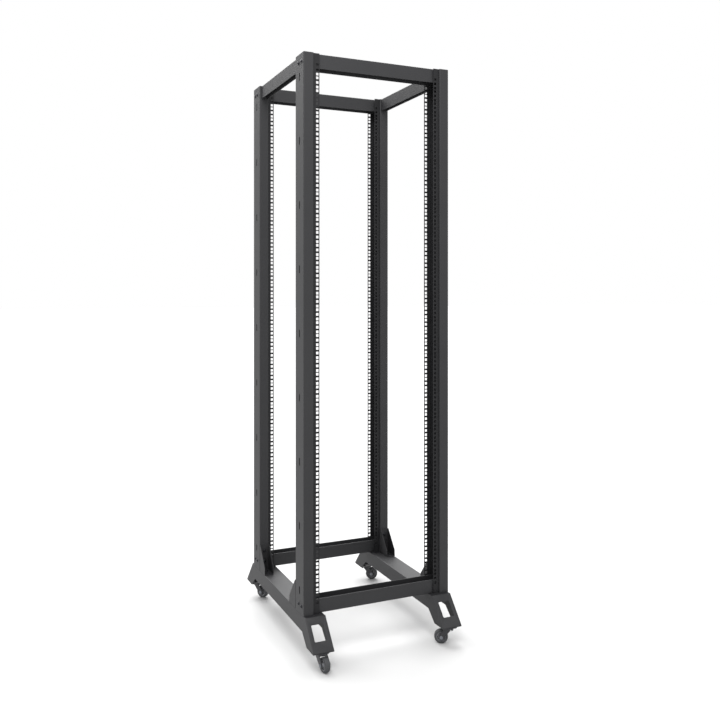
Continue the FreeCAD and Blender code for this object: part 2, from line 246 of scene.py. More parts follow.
def join_meshes(name: str, meshes: Iterable[bpy.types.Mesh]) -> bpy.types.Mesh:
    """Puts several meshes into one.

    Args:
        name: The new mesh's name.
        meshes: The meshes to join.

    Returns:
        The new mesh, smooth apart from its corners.
    """
    work = bmesh.new()
    for mesh in meshes:
        work.from_mesh(mesh)
    joined = bpy.data.meshes.new(name)
    work.to_mesh(joined)
    work.free()
    joined.shade_smooth()
    joined.set_sharp_from_angle(angle=math.radians(CORNER_DEG))
    return joined


def baked_mesh(piece: bpy.types.Object, name: str) -> bpy.types.Mesh:
    """Applies a piece's modifiers, and takes the piece itself out of the scene.

    Args:
        piece: The piece.
        name: The new mesh's name.

    Returns:
        The mesh that the modifiers give.
    """
    bpy.context.view_layer.update()
    depsgraph = bpy.context.evaluated_depsgraph_get()
    mesh = bpy.data.meshes.new_from_object(piece.evaluated_get(depsgraph))
    mesh.name = name
    bpy.data.objects.remove(piece)
    return mesh


def folded_sheet(
    name: str, skin: bpy.types.Mesh, thickness: float, offset: float, edge: float
) -> bpy.types.Mesh:
    """Gives a bent skin its sheet thickness, and softens the edges that cutting leaves.

    Args:
        name: The new mesh's name.
        skin: The bent skin, one face thick.
        thickness: The sheet's thickness.
        offset: -1 to thicken against the faces' direction, 1 to thicken along it.
        edge: The radius of the softened edges.

    Returns:
        The sheet's mesh.
    """
    blank = add_object(name + "_blank", skin)
    sheet = blank.modifiers.new("thickness", "SOLIDIFY")
    sheet.thickness = thickness
    sheet.offset = offset
    sheet.use_even_offset = True
    softening = blank.modifiers.new("edges", "BEVEL")
    softening.width = edge
    softening.segments = 2
    softening.angle_limit = math.radians(CUT_EDGE_DEG)
    return baked_mesh(blank, name)


class PatternTree:
    """A Geometry Nodes tree with named inputs, for a shape that repeats."""

    def __init__(self, name: str, kinds: dict[str, str]) -> None:
        """Starts the tree, with a Geometry and a Finish input around its own ones.

        Args:
            name: The tree's name.
            kinds: The kind of each of its own inputs, such as Float.
        """
        self.tree = bpy.data.node_groups.new(name, "GeometryNodeTree")
        sockets = self.tree.interface
        sockets.new_socket("Geometry", in_out="OUTPUT", socket_type="NodeSocketGeometry")
        self.identifiers: dict[str, str] = {}
        for label, kind in {"Geometry": "Geometry", **kinds, "Finish": "Material"}.items():
            socket = sockets.new_socket(label, in_out="INPUT", socket_type="NodeSocket" + kind)
            self.identifiers[label] = socket.identifier
        self.given = add_node(self.tree, "NodeGroupInput").outputs

    def end_with(self, geometry: bpy.types.NodeSocket) -> None:
        """Makes the instances real, gives them the finish, and ends the tree.

        Args:
            geometry: The output that carries the finished shape.
        """
        real = add_node(self.tree, "GeometryNodeRealizeInstances", {"Geometry": geometry})
        painted = add_node(
            self.tree,
            "GeometryNodeSetMaterial",
            {"Geometry": real.outputs["Geometry"], "Material": self.given["Finish"]},
        )
        add_node(self.tree, "NodeGroupOutput", {0: painted.outputs["Geometry"]})

    def run(
        self, name: str, values: dict[str, Any], base: bpy.types.Mesh | None = None
    ) -> bpy.types.Mesh:
        """Runs the tree, and keeps what it makes as a plain mesh.

        Args:
            name: The new mesh's name.
            values: The value of each named input.
            base: The mesh that goes in as Geometry, for a tree that uses one.

        Returns:
            The new mesh.
        """
        if base is None:
            base = bpy.data.meshes.new(name + "_carrier")
        carrier = add_object(name + "_carrier", base)
        modifier = carrier.modifiers.new(name, "NODES")
        modifier.node_group = self.tree
        for label, value in values.items():
            modifier[self.identifiers[label]] = value
        return baked_mesh(carrier, name)


# ---- Finishes ----


@dataclass(frozen=True)
class Finish(ABC):
    """A surface finish, made of nodes."""

    name: str
    colour: str
    roughness: float

    @abstractmethod
    def shader_values(self) -> dict[str, float]:
        """The shader's inputs that set this kind of surface apart."""

    def dress(self, tree: bpy.types.NodeTree, shader: bpy.types.Node) -> None:
        """Adds the finish's own pattern. A plain finish has none.

        Args:
            tree: The material's node tree.
            shader: The tree's Principled BSDF.
        """

    def build(self) -> bpy.types.Material:
        """Makes the material.

        Returns:
            The material, with its pattern.
        """
        material = bpy.data.materials.new(self.name)
        material.use_nodes = True
        tree = material.node_tree
        tree.nodes.clear()
        values = {"Base Color": linear(self.colour), "Roughness": self.roughness}
        values.update(self.shader_values())
        shader = add_node(tree, "ShaderNodeBsdfPrincipled", values)
        self.dress(tree, shader)
        add_node(tree, "ShaderNodeOutputMaterial", {"Surface": shader.outputs["BSDF"]})
        material.diffuse_color = linear(self.colour)
        return material


@dataclass(frozen=True)
class GrainedFinish(Finish):
    """A finish whose shade drifts in soft patches, over a fine grain on Object coordinates."""

    second_colour: str
    grain_mm: float = 1.0
    patch_mm: float = 10.0
    patch_detail: float = 3.0
    patch_roughness: float = 0.5
    bump_strength: float = 0.1
    bump_depth: float = 0.2 * MM
    gloss_swing: tuple[float, float] = (0.0, 0.0)

    @abstractmethod
    def add_grain(
        self, tree: bpy.types.NodeTree, where: bpy.types.NodeSocket
    ) -> bpy.types.NodeSocket:
        """Adds the grain's texture.

        Args:
            tree: The material's node tree.
            where: The Object coordinates.

        Returns:
            The output that gives the grain's height.
        """

    def dress(self, tree: bpy.types.NodeTree, shader: bpy.types.Node) -> None:
        """Adds the patches of shade, the grain's bump, and gloss that varies with the grain.

        Args:
            tree: The material's node tree.
            shader: The tree's Principled BSDF.
        """
        where = add_node(tree, "ShaderNodeTexCoord").outputs["Object"]
        patches = add_node(
            tree,
            "ShaderNodeTexNoise",
            {
                "Vector": where,
                "Scale": scale_for(self.patch_mm),
                "Detail": self.patch_detail,
                "Roughness": self.patch_roughness,
            },
        )
        shade = add_node(
            tree,
            "ShaderNodeMix",
            {0: patches.outputs["Fac"], 6: linear(self.colour), 7: linear(self.second_colour)},
            data_type="RGBA",
        )
        tree.links.new(shade.outputs[2], shader.inputs["Base Color"])
        grain = self.add_grain(tree, where)
        if any(self.gloss_swing):
            shinier, duller = self.gloss_swing
            gloss = add_node(
                tree,
                "ShaderNodeMapRange",
                {
                    "Value": grain,
                    "To Min": self.roughness + shinier,
                    "To Max": self.roughness + duller,
                },
            )
            tree.links.new(gloss.outputs["Result"], shader.inputs["Roughness"])
        bump = add_node(
            tree,
            "ShaderNodeBump",
            {"Height": grain, "Strength": self.bump_strength, "Distance": self.bump_depth},
        )
        tree.links.new(bump.outputs["Normal"], shader.inputs["Normal"])


@dataclass(frozen=True)
class PowderCoat(GrainedFinish):
    """Polyester powder coat, baked on steel: satin, with the fine pebbling of cured powder."""

    # Real pebbles are about 0.5 mm across. They are drawn four times as coarse, so that
    # they show on a post 2 m high.
    grain_mm: float = 2.2
    patch_mm: float = 90.0
    bump_strength: float = 0.18
    bump_depth: float = 0.4 * MM
    gloss_swing: tuple[float, float] = (-0.06, 0.06)
    gloss_level: float = 0.35
    pebble_detail: float = 2.0
    pebble_roughness: float = 0.45

    def shader_values(self) -> dict[str, float]:
        """The coat's own gloss."""
        return {"Specular IOR Level": self.gloss_level}

    def add_grain(
        self, tree: bpy.types.NodeTree, where: bpy.types.NodeSocket
    ) -> bpy.types.NodeSocket:
        """Adds the pebbling.

        Args:
            tree: The material's node tree.
            where: The Object coordinates.

        Returns:
            The output that gives the pebbles' height.
        """
        pebbles = {
            "Vector": where,
            "Scale": scale_for(self.grain_mm),
            "Detail": self.pebble_detail,
            "Roughness": self.pebble_roughness,
        }
        return add_node(tree, "ShaderNodeTexNoise", pebbles).outputs["Fac"]


@dataclass(frozen=True)
class PlatedMetal(GrainedFinish):
    """Zinc electroplate on steel: bright, with a soft grain left by the barrel."""

    # The barrel's real marks are some 0.2 mm wide, and are drawn coarser so that they show.
    grain_mm: float = 1.4
    patch_mm: float = 8.4
    patch_detail: float = 4.0
    bump_strength: float = 0.12
    bump_depth: float = 0.1 * MM
    gloss_swing: tuple[float, float] = (-0.07, 0.1)
    grain_detail: float = 3.0

    def shader_values(self) -> dict[str, float]:
        """Makes the surface a metal."""
        return {"Metallic": 1.0}

    def add_grain(
        self, tree: bpy.types.NodeTree, where: bpy.types.NodeSocket
    ) -> bpy.types.NodeSocket:
        """Adds the barrel's fine marks.

        Args:
            tree: The material's node tree.
            where: The Object coordinates.

        Returns:
            The output that gives the marks' height.
        """
        marks = {"Vector": where, "Scale": scale_for(self.grain_mm), "Detail": self.grain_detail}
        return add_node(tree, "ShaderNodeTexNoise", marks).outputs["Fac"]


@dataclass(frozen=True)
class MouldedPolymer(GrainedFinish):
    """Injection moulded rubber or plastic: matt to satin, with a spark-eroded mould grain."""

    # A mould's real grain is under 0.1 mm, and is drawn coarser so that it shows.
    grain_mm: float = 0.9
    patch_mm: float = 9.09
    patch_detail: float = 5.0
    patch_roughness: float = 0.6
    ior: float = 1.5

    def shader_values(self) -> dict[str, float]:
        """The polymer's own refraction."""
        return {"IOR": self.ior}

    def add_grain(
        self, tree: bpy.types.NodeTree, where: bpy.types.NodeSocket
    ) -> bpy.types.NodeSocket:
        """Adds the mould's grain.

        Args:
            tree: The material's node tree.
            where: The Object coordinates.

        Returns:
            The output that gives the grain's height.
        """
        cells = {"Vector": where, "Scale": scale_for(self.grain_mm)}
        return add_node(tree, "ShaderNodeTexVoronoi", cells).outputs["Distance"]


@dataclass(frozen=True)
class StudioPaper(Finish):
    """Plain seamless paper under the rack: pale and fully matt."""

    def shader_values(self) -> dict[str, float]:
        """Takes the gloss away."""
        return {"Specular IOR Level": 0.0}


def made_of(finish: Finish) -> Any:
    """A dataclass field that holds a finish's material, made when its set is made."""
    return field(default_factory=finish.build)


@dataclass
class FinishSet:
    """Every finish on the rack, made once and shared."""

    # Black polyester powder over folded sheet: reads as charcoal under a soft white light.
    frame: bpy.types.Material = made_of(
        PowderCoat("satin_black_powder_coat", "#1f1f21", 0.6, "#252527", gloss_level=0.42)
    )
    # The same powder on the mounting strips, drawn a shade darker and less glossy than on the
    # posts.
    strip: bpy.types.Material = made_of(
        PowderCoat("matt_black_powder_coat", "#141416", 0.66, "#19191b", gloss_level=0.3)
    )
    # Black electrophoretic paint on pressed steel: thinner, smoother and glossier than powder.
    # Its own grain is too fine to show, so it is drawn at 0.8 mm.
    caster: bpy.types.Material = made_of(
        PowderCoat(
            "black_electrophoretic_paint",
            "#222225",
            0.36,
            "#2a2a2e",
            grain_mm=0.8,
            patch_mm=25.0,
            bump_strength=0.08,
            gloss_level=0.5,
        )
    )
    # Bright zinc plate on the axle bolts: cool silver, a little patchy.
    zinc: bpy.types.Material = made_of(
        PlatedMetal("bright_zinc_plate", "#8a8d92", 0.34, "#6c6f74")
    )
    # Black zinc plate on screws and nuts: dark metal that still glints on its edges.
    screw: bpy.types.Material = made_of(
        PlatedMetal(
            "black_zinc_plate", "#2b2b2e", 0.36, "#3a3a3e", grain_mm=1.0, patch_mm=6.0
        )
    )
    # Moulded thermoplastic rubber: the tread, dark and matt.
    tyre: bpy.types.Material = made_of(
        MouldedPolymer("moulded_thermoplastic_rubber", "#353638", 0.7, "#424345", grain_mm=1.1)
    )
    # Moulded polypropylene: the wheel's centre, mid grey with a low sheen.
    core: bpy.types.Material = made_of(
        MouldedPolymer(
            "moulded_polypropylene", "#6c6d70", 0.42, "#7a7b7e", grain_mm=0.8, ior=1.49
        )
    )
    # Uncoated paper: pale enough to go white under the studio's light.
    paper: bpy.types.Material = made_of(StudioPaper("seamless_paper", "#bebebe", 1.0))


# ---- Where things are ----


class Corner(Enum):
    """A corner of the rack, with its side and its end."""

    FRONT_LEFT = ("front_left", -1, -1)
    FRONT_RIGHT = ("front_right", 1, -1)
    REAR_LEFT = ("rear_left", -1, 1)
    REAR_RIGHT = ("rear_right", 1, 1)

    def __init__(self, label: str, side: int, end: int) -> None:
        """Names the corner's values.

        Args:
            label: The end of its pieces' names.
            side: -1 for the left side, 1 for the right.
            end: -1 for the front, 1 for the rear.
        """
        self.label = label
        self.side = side
        self.end = end

    def mirrored(self, mesh: bpy.types.Mesh, name: str) -> bpy.types.Mesh:
        """A copy of a front left mesh for this corner.

        Args:
            mesh: The mesh as built for the front left corner.
            name: The copy's name.

        Returns:
            The copy, with its faces outwards.
        """
        copy = mesh.copy()
        copy.name = name
        copy.transform(Matrix.Diagonal((-self.side, -self.end, 1.0, 1.0)))
        if self.side * self.end < 0:
            copy.flip_normals()
        return copy


def replace_at_corners(mesh: bpy.types.Mesh, name: str, node: str) -> None:
    """Puts a front left piece of the frame and its mirror images in place of plain solids.

    Args:
        mesh: The front left piece's mesh, in place.
        name: The pieces' name, without its corner.
        node: The name of the solids that they replace, without its corner.
    """
    for corner in Corner:
        full_name = name + "_" + corner.label
        piece = add_object(full_name, corner.mirrored(mesh, full_name))
        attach(piece, "frame")
        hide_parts(node + "_" + corner.label)
        LOG.info("%s: %d faces", full_name, len(piece.data.polygons))


@dataclass(frozen=True)
class Layout:
    """The frame's main faces at the front left corner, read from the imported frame.

    Places along X are distances from the middle, which both sides share.
    """

    side_x: float
    face_x: float
    rail_x: float
    side_beam_x: float
    beam_y: float
    inner_rail_y: float
    post_back_y: float
    bracket_back_y: float
    post_bottom: float
    post_top: float
    pad_bottom: float
    sheet: float

    @classmethod
    def read(cls) -> Layout:
        """Reads the boxes of the front left nodes.

        Returns:
            The layout.
        """
        post_low, post_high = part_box("post_front_left")
        rail_low, rail_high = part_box("rail_outer_front_left")
        inner_low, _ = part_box("rail_inner_front_left")
        beam_low, beam_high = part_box("top_beam_front")
        side_low, side_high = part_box("top_beam_left")
        _, bracket_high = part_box("post_bracket_front_left")
        foot_low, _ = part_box("foot_end_front_left")
        return cls(
            side_x=-post_low[0],
            face_x=-post_high[0],
            rail_x=-rail_high[0],
            side_beam_x=-(side_low[0] + side_high[0]) / 2.0,
            beam_y=(beam_low[1] + beam_high[1]) / 2.0,
            inner_rail_y=inner_low[1],
            post_back_y=post_high[1],
            bracket_back_y=bracket_high[1],
            post_bottom=post_low[2],
            post_top=post_high[2],
            pad_bottom=foot_low[2],
            sheet=rail_high[1] - rail_low[1],
        )


# ---- The perforated mounting strips ----


@dataclass
class PerforatedStrips:
    """The mounting strips with a square hole for every cage nut, three to a rack unit."""

    layout: Layout
    finishes: FinishSet
    unit: float = 44.45 * MM
    units: int = 42
    holes_per_unit: int = 3
    first_hole: float = 6.35 * MM
    hole_pitch: float = 15.875 * MM
    hole_size: float = 9.5 * MM
    hole_from_edge: float = 7.55 * MM

    def strip_pattern(self) -> PatternTree:
        """Builds the tree that fills a strip's outline around its holes and thickens it.

        Returns:
            The tree.
        """
        kinds = dict.fromkeys(("Width", "Height", "Thickness", "Hole Size"), "Float")
        kinds.update(dict.fromkeys(("First Hole", "Hole Step", "Unit Step"), "Vector"))
        kinds.update(dict.fromkeys(("Holes", "Units"), "Int"))
        pattern = PatternTree("perforated_strip", kinds)
        tree, given = pattern.tree, pattern.given
        sheet = add_node(
            tree,
            "GeometryNodeCurvePrimitiveQuadrilateral",
            {"Width": given["Width"], "Height": given["Height"]},
        )
        hole = add_node(
            tree,
            "GeometryNodeCurvePrimitiveQuadrilateral",
            {"Width": given["Hole Size"], "Height": given["Hole Size"]},
        )
        in_unit = add_node(
            tree,
            "GeometryNodeMeshLine",
            {"Count": given["Holes"], "Offset": given["Hole Step"]},
            mode="OFFSET",
        )
        triple = add_node(
            tree,
            "GeometryNodeInstanceOnPoints",
            {"Points": in_unit.outputs["Mesh"], "Instance": hole.outputs["Curve"]},
        )
        each_unit = add_node(
            tree,
            "GeometryNodeMeshLine",
            {
                "Count": given["Units"],
                "Start Location": given["First Hole"],
                "Offset": given["Unit Step"],
            },
            mode="OFFSET",
        )
        column = add_node(
            tree,
            "GeometryNodeInstanceOnPoints",
            {"Points": each_unit.outputs["Mesh"], "Instance": triple.outputs["Instances"]},
        )
        outlines = add_node(
            tree,
            "GeometryNodeJoinGeometry",
            {0: [column.outputs["Instances"], sheet.outputs["Curve"]]},
        )
        flat = add_node(
            tree, "GeometryNodeRealizeInstances", {"Geometry": outlines.outputs["Geometry"]}
        )
        filled = add_node(tree, "GeometryNodeFillCurve", {"Curve": flat.outputs["Geometry"]})
        raised = add_node(
            tree,
            "GeometryNodeExtrudeMesh",
            {
                "Mesh": filled.outputs["Mesh"],
                "Offset Scale": given["Thickness"],
                "Individual": False,
            },
            mode="FACES",
        )
        under = add_node(tree, "GeometryNodeFlipFaces", {"Mesh": filled.outputs["Mesh"]})
        both = add_node(
            tree,
            "GeometryNodeJoinGeometry",
            {0: [raised.outputs["Mesh"], under.outputs["Mesh"]]},
        )
        closed = add_node(
            tree,
            "GeometryNodeMergeByDistance",
            {"Geometry": both.outputs["Geometry"], "Distance": MERGE_DISTANCE},
        )
        pattern.end_with(closed.outputs["Geometry"])
        return pattern

    def make_strip(self) -> bpy.types.Mesh:
        """Makes the front left post's inner strip.

        Returns:
            The strip's mesh, in place.
        """
        layout = self.layout
        width = layout.face_x - layout.rail_x
        height = layout.post_top - layout.post_bottom
        margin = (height - self.units * self.unit) / 2.0
        first_y = -height / 2.0 + margin + self.first_hole
        values = {
            "Width": width,
            "Height": height,
            "Thickness": layout.sheet,
            "Hole Size": self.hole_size,
            "First Hole": (width / 2.0 - self.hole_from_edge, first_y, 0.0),
            "Hole Step": (0.0, self.hole_pitch, 0.0),
            "Unit Step": (0.0, self.unit, 0.0),
            "Holes": self.holes_per_unit,
            "Units": self.units,
            "Finish": self.finishes.strip,
        }
        mesh = self.strip_pattern().run("inner_strip", values)
        middle = (
            -(layout.face_x + layout.rail_x) / 2.0,
            layout.inner_rail_y + layout.sheet,
            (layout.post_top + layout.post_bottom) / 2.0,
        )
        upright = Matrix.Rotation(QUARTER_TURN, 4, "X")
        mesh.transform(Matrix.Translation(middle) @ upright)
        return face_outwards(mesh)

    def build(self) -> None:
        """Puts a perforated strip in place of each plain inner strip."""
        replace_at_corners(self.make_strip(), "inner_mounting_strip", "rail_inner")


# ---- The feet's sloping ends ----


@dataclass
class FootEnds:
    """The feet's sloping end plates, each with its window, folded under as a caster pad."""

    finishes: FinishSet
    sheet: float
    slope_run: float = 86.0 * MM
    pad_length: float = 70.0 * MM
    window_width: float = 44.0 * MM
    window_length: float = 57.0 * MM
    window_from_top: float = 26.5 * MM
    window_radius: float = 3.5 * MM
    window_steps: int = 5
    fold_radius: float = 3.5 * MM
    fold_margin: float = 0.8 * MM
    fold_steps: int = 8
    edge_radius: float = 0.4 * MM
    corner_deg: float = 24.0
    level_deg: float = 1.0

    def window_outline(self) -> list[tuple[float, float]]:
        """Draws the window's rounded outline.

        Returns:
            Places across and down the slope.
        """
        half, radius = self.window_width / 2.0, self.window_radius
        top, bottom = self.window_from_top, self.window_from_top + self.window_length
        centres = (
            (half - radius, bottom - radius, 0.0),
            (-half + radius, bottom - radius, 90.0),
            (-half + radius, top + radius, 180.0),
            (half - radius, top + radius, 270.0),
        )
        outline = []
        for across, down, start in centres:
            for step in range(self.window_steps + 1):
                angle = math.radians(start + 90.0 * step / self.window_steps)
                outline.append(
                    (across + radius * math.cos(angle), down + radius * math.sin(angle))
                )
        return outline

    def make_skin(self) -> bpy.types.Mesh:
        """Makes the front left plate's outer skin: the slope, the fold and the pad.

        Returns:
            The skin, in place, one face thick.
        """
        low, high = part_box("foot_end_front_left")
        drop = high[2] - low[2]
        length = math.hypot(self.slope_run, drop)
        ledge = Vector((0.0, high[1] - self.sheet * drop / length, high[2]))
        down = Vector((0.0, -self.slope_run, -drop)) / length
        out = Vector((0.0, down.z, -down.y))
        tip = ledge + down * length
        turn = math.acos(down.y)
        flat = length - self.fold_radius * math.tan(turn / 2.0)
        panel = flat - self.fold_margin
        middle, half = (low[0] + high[0]) / 2.0, (high[0] - low[0]) / 2.0
        outline = [(-half, 0.0), (half, 0.0), (half, panel), (-half, panel)]
        window = self.window_outline()
        loops = [[Vector((x, y, 0.0)) for x, y in loop] for loop in (outline, window)]
        faces = [tuple(triangle) for triangle in tessellate_polygon(loops)]
        points = [
            ledge + down * along + Vector((middle + across, 0.0, 0.0))
            for across, along in outline + window
        ]
        centre = ledge + down * flat - out * self.fold_radius
        start = math.atan2(out.z, out.y)
        rows = []
        for step in range(self.fold_steps + 1):
            angle = start + turn * step / self.fold_steps
            y = centre.y + self.fold_radius * math.cos(angle)
            rows.append((y, centre.z + self.fold_radius * math.sin(angle)))
        rows += [(rows[-1][0] + self.fold_margin, low[2]), (tip.y + self.pad_length, low[2])]
        last = (3, 2)
        for y, z in rows:
            points += [Vector((middle - half, y, z)), Vector((middle + half, y, z))]
            here = (len(points) - 2, len(points) - 1)
            faces.append((last[0], last[1], here[1], here[0]))
            last = here
        skin = bpy.data.meshes.new("foot_end_skin")
        skin.from_pydata(points, [], faces)
        self.merge_slope(skin, out)
        return skin

    def merge_slope(self, skin: bpy.types.Mesh, out: Vector) -> None:
        """Turns the skin's faces outwards, and merges the triangles around the window.

        Args:
            skin: The skin, whose first face lies on the slope.
            out: The way the slope faces.
        """
        work = bmesh.new()
        work.from_mesh(skin)
        bmesh.ops.recalc_face_normals(work, faces=work.faces)
        work.faces.ensure_lookup_table()
        if work.faces[0].normal.dot(out) < 0.0:
            bmesh.ops.reverse_faces(work, faces=work.faces)
        slope_edges = [
            edge
            for edge in work.edges
            if len(edge.link_faces) == 2 and all(len(face.verts) == 3 for face in edge.link_faces)
        ]
        bmesh.ops.dissolve_limit(
            work, angle_limit=math.radians(self.level_deg), verts=[], edges=slope_edges
        )
        work.to_mesh(skin)
        work.free()

    def build(self) -> None:
        """Puts a folded end plate in place of each plain one."""
        sheet = folded_sheet("foot_end", self.make_skin(), self.sheet, -1.0, self.edge_radius)
        plate = face_outwards(sheet, self.corner_deg)
        plate.materials.clear()
        plate.materials.append(self.finishes.frame)
        replace_at_corners(plate, "foot_end_plate", "foot_end")


# ---- Screws and nuts ----


@dataclass(frozen=True)
class ButtonScrew:
    """A flanged button head screw with a hexagon socket, standing on Z = 0."""

    flange_radius: float = 6.8 * MM
    flange_height: float = 0.9 * MM
    flange_wall_share: float = 0.7
    flange_round: float = 0.3 * MM
    head_radius: float = 5.6 * MM
    head_height: float = 2.5 * MM
    dome_shares: tuple[float, ...] = (0.15, 0.45, 0.72, 0.9, 1.0)
    socket_flats: float = 4.0 * MM
    socket_depth: float = 2.0 * MM
    socket_land: float = 0.9 * MM
    socket_chamfer: float = 0.25 * MM
    socket_point: float = 0.4 * MM
    segments: int = 24

    def mesh(self) -> bpy.types.Mesh:
        """Makes the flange and the domed head with its socket.

        Returns:
            The screw's mesh.
        """
        base, top = self.flange_height, self.flange_height + self.head_height
        half, chamfer = self.socket_flats / 2.0, self.socket_chamfer
        land, floor = half + self.socket_land, top - self.socket_depth
        stations: list[tuple[Any, ...]] = [
            (self.flange_radius, 0.0),
            (self.flange_radius, base * self.flange_wall_share),
            (self.flange_radius - self.flange_round, base),
            (self.head_radius, base),
        ]
        for share in self.dome_shares:
            angle = share * QUARTER_TURN
            reach = self.head_radius - (self.head_radius - land) * (1.0 - math.cos(angle))
            stations.append((reach, base + self.head_height * math.sin(angle)))
        stations += [
            (half + chamfer, top, HEXAGON),
            (half, top - chamfer, HEXAGON),
            (half, floor, HEXAGON),
            (self.socket_point, floor - self.socket_point),
        ]
        return turned("button_screw", stations, self.segments)


@dataclass(frozen=True)
class FlangeNut:
    """A hexagon head or nut on its pressed flange, standing on Z = 0.

    A nut shows a stub of thread above it. With no stub it is a bolt's head, with a dished top.
    """

    flats: float = 9.0 * MM
    height: float = 3.8 * MM
    chamfer_share: float = 0.14
    top_share: float = 0.98
    flange_radius: float = 6.0 * MM
    flange_height: float = 1.1 * MM
    flange_wall_share: float = 0.6
    flange_top_share: float = 1.08
    flange_rise_share: float = 1.02
    stub_radius: float = 2.9 * MM
    stub_height: float = 1.6 * MM
    stub_sink: float = 0.4 * MM
    hole_mouth_share: float = 1.25
    hole_share: float = 1.1
    dish_mouth_share: float = 0.7
    dish_share: float = 0.6
    thread_chamfer: float = 0.5 * MM
    segments: int = 24

    def mesh(self) -> bpy.types.Mesh:
        """Makes the flange, the chamfered hexagon, and the thread's end or the dished top.

        Returns:
            The nut's or head's mesh.
        """
        half, high, brim = self.flats / 2.0, self.height, self.flange_height
        stations: list[tuple[Any, ...]] = [
            (self.flange_radius, 0.0),
            (self.flange_radius, brim * self.flange_wall_share),
            (half * self.flange_top_share, brim),
            (half, brim * self.flange_rise_share, HEXAGON),
            (half, high * (1.0 - self.chamfer_share), HEXAGON),
            (half * self.top_share, high),
        ]
        if self.stub_height > 0.0:
            thread, top = self.stub_radius, high + self.stub_height
            stations += [
                (thread * self.hole_mouth_share, high),
                (thread * self.hole_share, high - self.stub_sink),
                (thread, high - self.stub_sink),
                (thread, top - self.thread_chamfer),
                (thread - self.thread_chamfer, top),
            ]
        else:
            stations += [
                (half * self.dish_mouth_share, high),
                (half * self.dish_share, high - self.thread_chamfer),
            ]
        return turned("flange_nut", stations, self.segments)


@dataclass
class FastenerSet:
    """One kind of screw or nut, set wherever the frame is bolted together."""

    name: str
    kind: ButtonScrew | FlangeNut
    finish: bpy.types.Material
    slot: str
    seats: list[tuple[Point, Point]] = field(default_factory=list)
    seed: int = 7

    def add_at_corners(self, place: Point, axis: Point) -> None:
        """Adds a seat at the front left corner, and its mirror image at the other three.

        Args:
            place: Where the screw's underside sits at the front left corner.
            axis: The way its head points there.
        """
        for corner in Corner:
            across, along = -corner.side, -corner.end
            self.seats.append(
                (
                    (place[0] * across, place[1] * along, place[2]),
                    (axis[0] * across, axis[1] * along, axis[2]),
                )
            )

    def scatter_pattern(self) -> PatternTree:
        """Builds the tree that stands a fastener on each point, each turned a little.

        Returns:
            The tree.
        """
        pattern = PatternTree(self.name + "_scatter", {"Fastener": "Object", "Seed": "Int"})
        tree, given = pattern.tree, pattern.given
        master = add_node(tree, "GeometryNodeObjectInfo", {"Object": given["Fastener"]})
        axis = add_node(
            tree, "GeometryNodeInputNamedAttribute", {"Name": "axis"}, data_type="FLOAT_VECTOR"
        )
        upright = add_node(
            tree,
            "FunctionNodeAlignRotationToVector",
            {"Vector": axis.outputs["Attribute"]},
            axis="Z",
        )
        chance = add_node(
            tree,
            "FunctionNodeRandomValue",
            {"Max": math.pi, "Seed": given["Seed"]},
            data_type="FLOAT",
        )
        twist = add_node(
            tree,
            "FunctionNodeAxisAngleToRotation",
            {"Axis": UP, "Angle": chance.outputs[1]},
        )
        both = add_node(
            tree,
            "FunctionNodeRotateRotation",
            {"Rotation": upright.outputs["Rotation"], "Rotate By": twist.outputs["Rotation"]},
            rotation_space="LOCAL",
        )
        placed = add_node(
            tree,
            "GeometryNodeInstanceOnPoints",
            {
                "Points": given["Geometry"],
                "Instance": master.outputs["Geometry"],
                "Rotation": both.outputs["Rotation"],
            },
        )
        pattern.end_with(placed.outputs["Instances"])
        return pattern

    def build(self) -> None:
        """Sets the fasteners on their seats as one piece on the frame."""
        points = bpy.data.meshes.new(self.name + "_seats")
        points.from_pydata([place for place, _ in self.seats], [], [])
        axes = points.attributes.new("axis", "FLOAT_VECTOR", "POINT")
        axes.data.foreach_set("vector", [value for _, axis in self.seats for value in axis])
        master = add_object(self.name + "_master", self.kind.mesh())
        values = {"Fastener": master, "Seed": self.seed, "Finish": self.finish}
        mesh = self.scatter_pattern().run(self.name, values, points)
        bpy.data.objects.remove(master)
        piece = add_object(self.name, face_outwards(mesh))
        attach(piece, "frame")
        LOG.info("%s: %d on the frame", self.name, len(self.seats))


